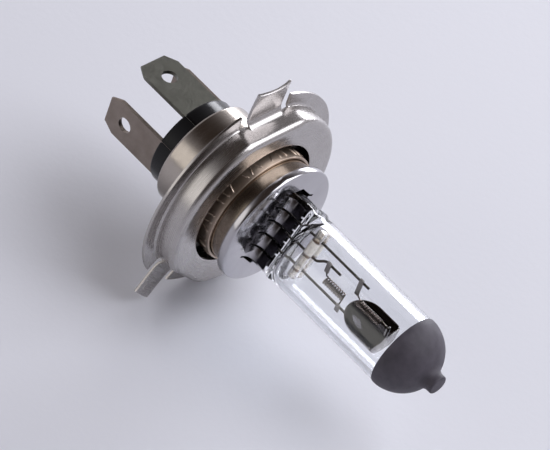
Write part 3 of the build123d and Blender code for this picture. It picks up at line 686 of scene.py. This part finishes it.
def drawn_wire(name, light, dark, roughness):
    """Drawn molybdenum or tungsten: grey metal with lines 0.12 mm apart along the draw, and heat tints
    in patches of 1.4 mm."""
    material, tree, output = new_material(name)
    place = add(tree, "TexCoord").outputs["Object"]
    drawn = add(tree, "Mapping", {"Vector": place, "Scale": (0.15, 1.0, 1.0)})
    lines = add(tree, "TexNoise", {"Vector": drawn.outputs[0], "Scale": 1 / (0.12 * MM), "Detail": 3.0})
    heat = add(tree, "TexNoise", {"Vector": place, "Scale": 1 / (1.4 * MM), "Detail": 2.0})
    base = blend(tree, heat.outputs[0], light, dark)
    rough = add(tree, "MapRange", {0: lines.outputs[0], 3: roughness * 0.7, 4: roughness * 1.4})
    relief = add(tree, "Bump", {"Height": lines.outputs[0], "Strength": 0.3, "Distance": 0.02 * MM})
    bare_metal(tree, output, base, rough, relief)
    return material


# Drawn molybdenum, dark with the oxide that sealing leaves on it.
molybdenum = drawn_wire("molybdenum_drawn", "#5e5a57", "#3d3a37", 0.3)
low_wire = wire("wire_low", wire_at(1, np.array([WIRE_SEAL, LOW_END])), WIRE_R)
dress(low_wire, molybdenum, "molybdenum", "support_wire_low")
common_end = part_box("support_wire_common")[1].x / MM
common_wire = wire("wire_common", wire_at(-1, np.array([WIRE_SEAL, common_end])), WIRE_R)
dress(common_wire, molybdenum, "molybdenum", "support_wire_common")
step_x = np.linspace(HIGH_STEP_X - HIGH_STEP_ROOM, HIGH_STEP_X + HIGH_STEP_L + HIGH_STEP_ROOM, 17)
step_x = np.concatenate([[WIRE_SEAL], step_x, [HIGH_END]])
step_by = HIGH_STEP * ease((step_x - HIGH_STEP_X) / HIGH_STEP_L)
high_wire = wire("wire_high", wire_at(0, step_x, step_by), WIRE_R)
dress(high_wire, molybdenum, "molybdenum", "support_wire_high")

# Molybdenum strip for the tabs, brighter where it was cut and welded.
tab_strip = drawn_wire("molybdenum_strip_cut", "#a5a19d", "#77726e", 0.34)
for node in ("tab_low", "tab_high", "tab_common"):
    dress(polished_copy(node, "weld_" + node, bevel=0.05), tab_strip, "molybdenum", node, sharp=CAD_SHARP)
for node in ("lead_low", "lead_high", "lead_common"):
    dress(polished_copy(node, "outer_" + node), molybdenum, "molybdenum", node, sharp=CAD_SHARP)

# Molybdenum foil, etched thin at its edges so that the quartz seals to it.
seal_foil = drawn_wire("molybdenum_foil_etched", "#8f8f90", "#6c6c6e", 0.4)
for node in ("foil_low", "foil_high", "foil_common"):
    dress(polished_copy(node, "seal_" + node), seal_foil, "foil", node, sharp=CAD_SHARP)


# ----------------------------------------------------------
# Bridge. Two short quartz rods pressed from both sides on to the hot support wires, which they
# hold apart. Fusing leaves the rods milky and full of fine bubbles.
# ----------------------------------------------------------
ROD_X, ROD_R, ROD_L = 19.0, 0.9, 10.4
ROD_END_L, ROD_END_POWER, ROD_SINK = 0.45, 0.6, 0.12
ROD_OFF = ROD_R + WIRE_R - ROD_SINK


def bridge_rod(name, side):
    """Round rod along the pinch direction. Each end is rounded over a length E by the radius
    R cos(t)^0.6 at a depth E (1 - sin t)."""
    t = np.linspace(0, np.pi / 2, 9)
    end = np.stack([ROD_L / 2 - ROD_END_L * (1 - np.sin(t)), ROD_R * np.cos(t) ** ROD_END_POWER], -1)
    line = np.concatenate([end[::-1] * [-1, 1], end])
    a = np.arange(36)[:, None] * 2 * np.pi / 36
    grid = along_pinch(WIRE_SHIFT + line[None, :, 0], side * ROD_OFF + line[:, 1] * np.cos(a),
                       ROD_X + line[:, 1] * np.sin(a))
    return surface(name, grid[:, ::-1], wrap=True)


def milky_quartz():
    """Fused rod: clear quartz, turned warm and cloudy where it was heated most, between the middle
    wire and the low-beam wire, bubbly elsewhere, and stained brown in a ring at each wire."""
    material, tree, output = new_material("fused_quartz_milky")
    place = add(tree, "TexCoord").outputs["Object"]
    rod_way = (0.0, np.sin(PINCH_ROLL) / MM, np.cos(PINCH_ROLL) / MM)
    along = add(tree, "VectorMath", {0: place, 1: rod_way}, operation="DOT_PRODUCT")
    low_wire_at = WIRE_SHIFT + WIRE_PITCH
    rise = add(tree, "MapRange", {0: along.outputs["Value"], 1: WIRE_SHIFT, 2: WIRE_SHIFT + 0.6})
    fall = add(tree, "MapRange", {
        0: along.outputs["Value"], 1: low_wire_at - 0.4, 2: low_wire_at + 0.2, 3: 1.0, 4: 0.0})
    heated = add(tree, "Math", {0: rise.outputs[0], 1: fall.outputs[0]}, operation="MULTIPLY")
    cloud = add(tree, "TexNoise", {"Vector": place, "Scale": 1 / (0.7 * MM), "Detail": 4.0})
    clear = add(tree, "MapRange", {0: cloud.outputs[0], 1: 0.3, 2: 0.7, 3: 0.95, 4: 0.6})
    milk = add(tree, "Math", {0: heated.outputs[0], 1: -0.75}, operation="MULTIPLY")
    share = add(tree, "Math", {0: clear.outputs[0], 1: milk.outputs[0]}, operation="ADD")
    relief = add(tree, "Bump", {"Height": cloud.outputs[0], "Strength": 0.25, "Distance": 0.06 * MM})
    band = 0.0
    for slot in (-1, 0, 1):
        off = add(tree, "Math", {
            0: along.outputs["Value"], 1: -WIRE_SHIFT - slot * WIRE_PITCH}, operation="ADD")
        near = add(tree, "Math", {0: off.outputs[0]}, operation="ABSOLUTE")
        mark = add(tree, "MapRange", {0: near.outputs[0], 1: 0.16, 2: 0.3, 3: 1.0, 4: 0.0})
        band = add(tree, "Math", {0: band, 1: mark.outputs[0]}, operation="ADD").outputs[0]
    tone = blend(tree, band, "#fdf6ec", "#6b5546")
    rod = add(tree, "BsdfPrincipled", {
        "Base Color": tone, "Roughness": 0.04, "IOR": 1.46,
        "Transmission Weight": share.outputs[0], "Normal": relief.outputs[0]})
    tree.links.new(rod.outputs[0], output.inputs["Surface"])
    return material


bridge_glass = milky_quartz()
dress(bridge_rod("bridge_front", -1), bridge_glass, "bridge_quartz", "bridge_rod_front")
dress(bridge_rod("bridge_rear", 1), bridge_glass, "bridge_quartz", "bridge_rod_rear")


# ----------------------------------------------------------
# Filaments. Each is tungsten wire wound into a coil along the axis, its two ends drawn out straight
# and welded on. The low-beam coil lies in the shield and its front leg meets the end plate.
# ----------------------------------------------------------
COIL_R, TUNGSTEN_R, COIL_STEPS = 0.85, 0.15, 20


def filament(name, x0, length, z, turns, first, leg_rear, leg_front):
    """Coil of turns round an axis along x: (x0 + length t, r sin a, z + r cos a) at the angle
    a = first + 2 pi turns t, with a straight leg from each end."""
    t = np.linspace(0, 1, turns * COIL_STEPS + 1)
    a = first + 2 * np.pi * turns * t
    r = COIL_R - TUNGSTEN_R
    helix = np.stack([x0 + length * t, r * np.sin(a), z + r * np.cos(a)], -1)
    return wire(name, np.concatenate([[leg_rear], helix, [leg_front]]), TUNGSTEN_R, 2)


def tab_middle(node):
    """Middle of a tab's box, in mm."""
    low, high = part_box(node)
    return (np.array(low) + np.array(high)) / 2 / MM


HIGH_X0, HIGH_L, HIGH_Z, HIGH_TURNS = 23.8, 4.9, -1.05, 9
HIGH_REAR_LEG_Z, HIGH_FRONT_LEG_Z = 0.24, -1.74
LOW_X0, LOW_L, LOW_Z, LOW_TURNS = 31.6, 5.8, 0.75, 11
SHIELD_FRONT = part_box("shield_end_plate")[0].x / MM
high_tab, common_tab, low_tab = tab_middle("tab_high"), tab_middle("tab_common"), tab_middle("tab_low")
# Tungsten, wound and recrystallised: a light grey with a fine sheen.
tungsten = drawn_wire("tungsten_wound", "#988f89", "#665d58", 0.16)
high_coil = filament("coil_high", HIGH_X0, HIGH_L, HIGH_Z, HIGH_TURNS, np.radians(20.0),
                     [high_tab[0], high_tab[1], HIGH_REAR_LEG_Z],
                     [common_tab[0], common_tab[1], HIGH_FRONT_LEG_Z])
dress(high_coil, tungsten, "tungsten", "high_beam_filament", sharp=60)
low_coil = filament("coil_low", LOW_X0, LOW_L, LOW_Z, LOW_TURNS, np.radians(90.0),
                    [low_tab[0], low_tab[1], LOW_Z],
                    [SHIELD_FRONT + TUNGSTEN_R, 0.0, LOW_Z + COIL_R - TUNGSTEN_R])
dress(low_coil, tungsten, "tungsten", "low_beam_filament", sharp=60)


# ----------------------------------------------------------
# Low-beam shield. A small half cup pressed from molybdenum sheet and polished, round at its rear
# end and open upwards, with a plate welded across its front end that carries the coil's leg.
# ----------------------------------------------------------
SHIELD_R, SHIELD_T, SHIELD_ROLL, SHIELD_Z = 3.6, 0.25, np.radians(-15.4), -0.85
SHIELD_EDGE, SHIELD_ROWS = 0.06, 12
NOSE_X, NOSE_L, NOSE_ROWS, NOSE_CROWDING = 30.3, 4.4, 25, 1.5


def shield_cup():
    """Half shell below its rim: radius R sqrt(1 - (1 - s)^2) along the nose and R after it, swept over
    half a turn and rolled about the axis."""
    s = np.linspace(0, 1, NOSE_ROWS) ** NOSE_CROWDING
    straight = np.linspace(NOSE_X + NOSE_L, SHIELD_FRONT, SHIELD_ROWS + 1)[1:]
    x = np.concatenate([NOSE_X + NOSE_L * s, straight])
    r = np.concatenate([SHIELD_R * np.sqrt(1 - (1 - s) ** 2), np.full(SHIELD_ROWS, SHIELD_R)])
    a = np.linspace(np.pi / 2, 3 * np.pi / 2, 65)[:, None]
    y, z = r * np.sin(a), r * np.cos(a)
    c, k = np.cos(SHIELD_ROLL), np.sin(SHIELD_ROLL)
    grid = np.stack([x + 0 * a, y * c + z * k, z * c - y * k + SHIELD_Z], -1)
    piece = surface("shield_cup", grid)
    modify(piece, "SOLIDIFY", thickness=SHIELD_T * MM, offset=-1.0, use_even_offset=True)
    break_edges(piece, SHIELD_EDGE, 55)
    return piece


def painted_shade_inside_cup(tree):
    """Share of faces that look towards the cup's axis, which painted shade darkens."""
    coord = add(tree, "TexCoord")
    out = add(tree, "Mapping", {
        "Vector": coord.outputs["Object"], "Location": (0.0, 0.0, -SHIELD_Z * MM),
        "Scale": (0.0, 1.0, 1.0)})
    way = add(tree, "VectorMath", {0: out.outputs[0]}, operation="NORMALIZE")
    facing = add(tree, "VectorMath", {
        0: way.outputs[0], 1: coord.outputs["Normal"]}, operation="DOT_PRODUCT")
    share = add(tree, "MapRange", {0: facing.outputs["Value"], 1: -0.35, 2: -0.15, 3: 1.0, 4: 0.0})
    return share.outputs[0]


# Molybdenum sheet, polished bright outside, with painted shade that darkens it inside the cup.
polished_sheet = drawn_wire("molybdenum_sheet_polished", "#b5b2b0", "#969391", 0.07)
darkened(polished_sheet, "#38363a", painted_shade_inside_cup)
dress(shield_cup(), polished_sheet, "shield_metal", "low_beam_shield", sharp=50)
dress(polished_copy("shield_end_plate", "shield_mouth_plate", bevel=0.05), polished_sheet,
      "shield_metal", "shield_end_plate", sharp=CAD_SHARP)


# ----------------------------------------------------------
# Insulator and blades. A disc moulded from dark thermoset, held in the shell's rear end, carries
# three flat blades stamped from nickel-plated steel with coined edges and a detent hole.
# ----------------------------------------------------------
def moulded_thermoset():
    """Black moulded thermoset: a smooth skin that reflects little, with a filler grain of 0.3 mm."""
    material, tree, output = new_material("thermoset_moulded_black")
    place = add(tree, "TexCoord").outputs["Object"]
    grain = add(tree, "TexNoise", {"Vector": place, "Scale": 1 / (0.3 * MM), "Detail": 4.0})
    cloud = add(tree, "TexNoise", {"Vector": place, "Scale": 1 / (3.0 * MM), "Detail": 3.0})
    base = blend(tree, cloud.outputs[0], "#0b0b0c", "#141314")
    rough = add(tree, "MapRange", {0: grain.outputs[0], 3: 0.12, 4: 0.22})
    relief = add(tree, "Bump", {"Height": grain.outputs[0], "Strength": 0.3, "Distance": 0.03 * MM})
    body = add(tree, "BsdfPrincipled", {
        "Base Color": base, "Roughness": rough.outputs[0], "Specular IOR Level": 0.2,
        "Normal": relief.outputs[0]})
    tree.links.new(body.outputs[0], output.inputs["Surface"])
    return material


def blade_metal(name, light, dark, roughness):
    """Stamped nickel-plated strip, slightly tarnished: fine rolling lines along the blade, 0.14 mm
    apart, tarnish in patches of about 4 mm, and pinprick pits."""
    material, tree, output = new_material(name)
    place = add(tree, "TexCoord").outputs["Object"]
    rolled = add(tree, "Mapping", {"Vector": place, "Scale": (0.03, 1.0, 1.0)})
    lines = add(tree, "TexNoise", {"Vector": rolled.outputs[0], "Scale": 1 / (0.14 * MM), "Detail": 3.0})
    cloud = add(tree, "TexNoise", {
        "Vector": place, "Scale": 1 / (4.0 * MM), "Detail": 5.0, "Roughness": 0.6})
    pits = add(tree, "TexNoise", {"Vector": place, "Scale": 1 / (0.35 * MM), "Detail": 2.0})
    tint = add(tree, "MapRange", {0: cloud.outputs[0], 1: 0.25, 2: 0.8})
    base = blend(tree, tint.outputs[0], light, dark)
    rough = add(tree, "MapRange", {
        0: pits.outputs[0], 1: 0.3, 2: 0.7, 3: roughness - 0.06, 4: roughness + 0.08})
    height = add(tree, "Math", {0: lines.outputs[0], 1: pits.outputs[0]}, operation="ADD")
    relief = add(tree, "Bump", {"Height": height.outputs[0], "Strength": 0.3, "Distance": 0.02 * MM})
    bare_metal(tree, output, base, rough, relief)
    return material


dress(polished_copy("insulator", "insulator_disc", bevel=0.15), moulded_thermoset(), "insulator",
      "insulator", sharp=CAD_SHARP)
# Nickel-plated strip: a darker grey-green copy on the top blade, which faces up, as painted shade, and a
# warmer copy on the two at the sides.
top_blade_metal_painted_shade = blade_metal("nickel_plated_strip_painted_shade", "#83837a", "#6b6b63", 0.34)
side_metal = blade_metal("nickel_plated_strip_warm", "#9a8f86", "#7f736a", 0.34)
for node, name, metal, slot in (("blade_top", "blade_low_beam", top_blade_metal_painted_shade, "blade_top"),
                                ("blade_left", "blade_high_beam", side_metal, "blade_side"),
                                ("blade_right", "blade_common", side_metal, "blade_side")):
    dress(polished_copy(node, name), metal, slot, node, sharp=CAD_SHARP)


# ----------------------------------------------------------
# Stage. A plain pale table, a low wide window lamp on the far side, a soft ceiling lamp, a pale wall
# on the near side, and a dim warm room round the viewer, which the metal shows as dark bands.
# ----------------------------------------------------------
FLOOR_Z, FLOOR_SIZE = cad_box[0][2] / MM, 4.0 / MM


def table_paint():
    """Matt pale board with a barely visible tooth of about a millimetre and clouds of 170 mm."""
    material, tree, output = new_material("board_matt_pale")
    place = add(tree, "TexCoord").outputs["Object"]
    tooth = add(tree, "TexNoise", {"Vector": place, "Scale": 900.0, "Detail": 3.0})
    cloud = add(tree, "TexNoise", {"Vector": place, "Scale": 6.0, "Detail": 2.0})
    base = blend(tree, cloud.outputs[0], "#e2e2e8", "#dcdce3")
    relief = add(tree, "Bump", {"Height": tooth.outputs[0], "Strength": 0.1, "Distance": 0.0002})
    board = add(tree, "BsdfPrincipled", {
        "Base Color": base, "Roughness": 0.6, "Normal": relief.outputs[0]})
    tree.links.new(board.outputs[0], output.inputs["Surface"])
    return material


side = np.linspace(-FLOOR_SIZE / 2, FLOOR_SIZE / 2, 9)
floor_x, floor_y = np.meshgrid(side, side, indexing="ij")
floor = surface("table_top", np.stack([floor_x, floor_y, np.full_like(floor_x, FLOOR_Z)], -1)[::-1])
floor.data.materials.append(table_paint())


def soft_lamp(name, place, size, watts, tint):
    """Rectangular soft lamp at place, facing the bulb. Its size is its width and height in metres."""
    lamp = bpy.data.lights.new(name, "AREA")
    lamp.shape, lamp.size, lamp.size_y = "RECTANGLE", size[0], size[1]
    lamp.energy, lamp.color = watts, colour(tint)[:3]
    holder = bpy.data.objects.new(name, lamp)
    bpy.context.scene.collection.objects.link(holder)
    back = np.array(place) / np.linalg.norm(place)
    across = np.cross([0, 0, 1], back)
    across = across / np.linalg.norm(across)
    up = np.cross(back, across)
    turn = np.eye(4)
    turn[:3, 0], turn[:3, 1], turn[:3, 2], turn[:3, 3] = across, up, back, place
    holder.matrix_world = Matrix(turn.tolist())


soft_lamp("window_lamp", place=(-0.34, 0.92, 0.19), size=(0.75, 0.34), watts=6.7, tint="#f6f8ff")
soft_lamp("ceiling_lamp", place=(0.42, 0.42, 0.86), size=(0.9, 0.9), watts=9.4, tint="#f6f8ff")

OVERHEAD = (0, 0, 1)
VIEWER_SIDE = (0.379, -0.606, 0.699)
PALE_WALL = (-0.40, -0.88, 0.24)


def room():
    """Room light: pale all round, dark and warm overhead and round the viewer, and brightest at a wall
    to the side. Each share is a smooth step of the cosine between a direction and that one."""
    world = bpy.data.worlds.new("dim_room")
    bpy.context.scene.world = world
    world.use_nodes = True
    tree = world.node_tree
    tree.nodes.clear()
    way = add(tree, "TexCoord").outputs["Generated"]

    def towards(direction, first, full):
        near = add(tree, "VectorMath", {0: way, 1: direction}, operation="DOT_PRODUCT")
        return add(tree, "MapRange", {0: near.outputs["Value"], 1: first, 2: full},
                   interpolation_type="SMOOTHSTEP").outputs[0]

    dark = add(tree, "Math", {
        0: towards(VIEWER_SIDE, 0.5, 0.95), 1: towards(OVERHEAD, 0.4, 0.85)}, operation="MAXIMUM")
    shade = blend(tree, dark.outputs[0], "#c2c0c6", "#3c332e")
    wall = add(tree, "Mix", {
        0: towards(PALE_WALL, 0.88, 0.97), 6: shade, 7: (1.3, 1.27, 1.24, 1.0)}, data_type="RGBA")
    glow = add(tree, "Background", {"Color": wall.outputs[2], "Strength": 1.0})
    tree.links.new(glow.outputs[0], add(tree, "OutputWorld").inputs["Surface"])


room()

CAMERA_AT = (0.35197, -0.54717, 0.63095)
CAMERA_RIGHT = (0.65790516, 0.70781551, 0.25721197)
CAMERA_UP = (-0.65081745, 0.3625095, 0.66710082)
SENSOR, LENS = 36.0, 338.02
SHIFT_X, SHIFT_Y = 0.0009, -0.0018
CLIP_NEAR, CLIP_FAR = 0.05, 20.0

camera = bpy.data.objects.new("camera", bpy.data.cameras.new("camera"))
bpy.context.scene.collection.objects.link(camera)
camera.data.sensor_width, camera.data.lens = SENSOR, LENS
camera.data.shift_x, camera.data.shift_y = SHIFT_X, SHIFT_Y
camera.data.clip_start, camera.data.clip_end = CLIP_NEAR, CLIP_FAR
stand = np.eye(4)
stand[:3, 0], stand[:3, 1] = CAMERA_RIGHT, CAMERA_UP
stand[:3, 2] = np.cross(CAMERA_RIGHT, CAMERA_UP)
stand[:3, 3] = CAMERA_AT
camera.matrix_world = Matrix(stand.tolist())
bpy.context.scene.camera = camera
bpy.context.scene.view_settings.view_transform = "Standard"
